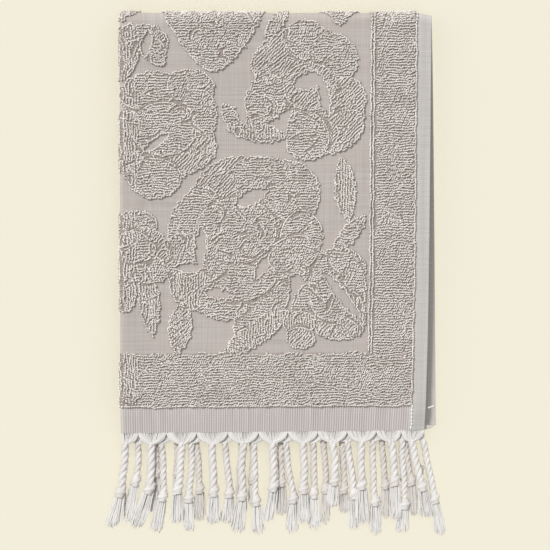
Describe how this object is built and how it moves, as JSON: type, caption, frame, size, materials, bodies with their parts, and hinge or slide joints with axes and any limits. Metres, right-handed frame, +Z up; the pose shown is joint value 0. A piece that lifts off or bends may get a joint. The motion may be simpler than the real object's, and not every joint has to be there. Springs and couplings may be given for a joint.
{
  "type": "hand towel",
  "caption": "Folded hand towel in sculpted floral terry with flat hems and a twisted, knotted fringe at both ends.",
  "frame": {"origin": "bottom centre of the bounding box, on the surface that the towel lies on", "axes": "+X to the right across the folded towel, from the side fold to the selvedge; +Y from the fringe to the top fold; +Z up, out of the face"},
  "size_m": [0.2506, 0.388, 0.0192],
  "materials": {
    "terry_cotton": "greige cotton, flat woven ground with raised terry loops",
    "undyed_yarn": "undyed off-white cotton warp yarn, twisted in two plies and knotted"
  },
  "bodies": {
    "root": {"towel_cloth": "terry_cotton", "fringe_front_end": "undyed_yarn", "fringe_back_end": "undyed_yarn"}
  },
  "joints": []
}
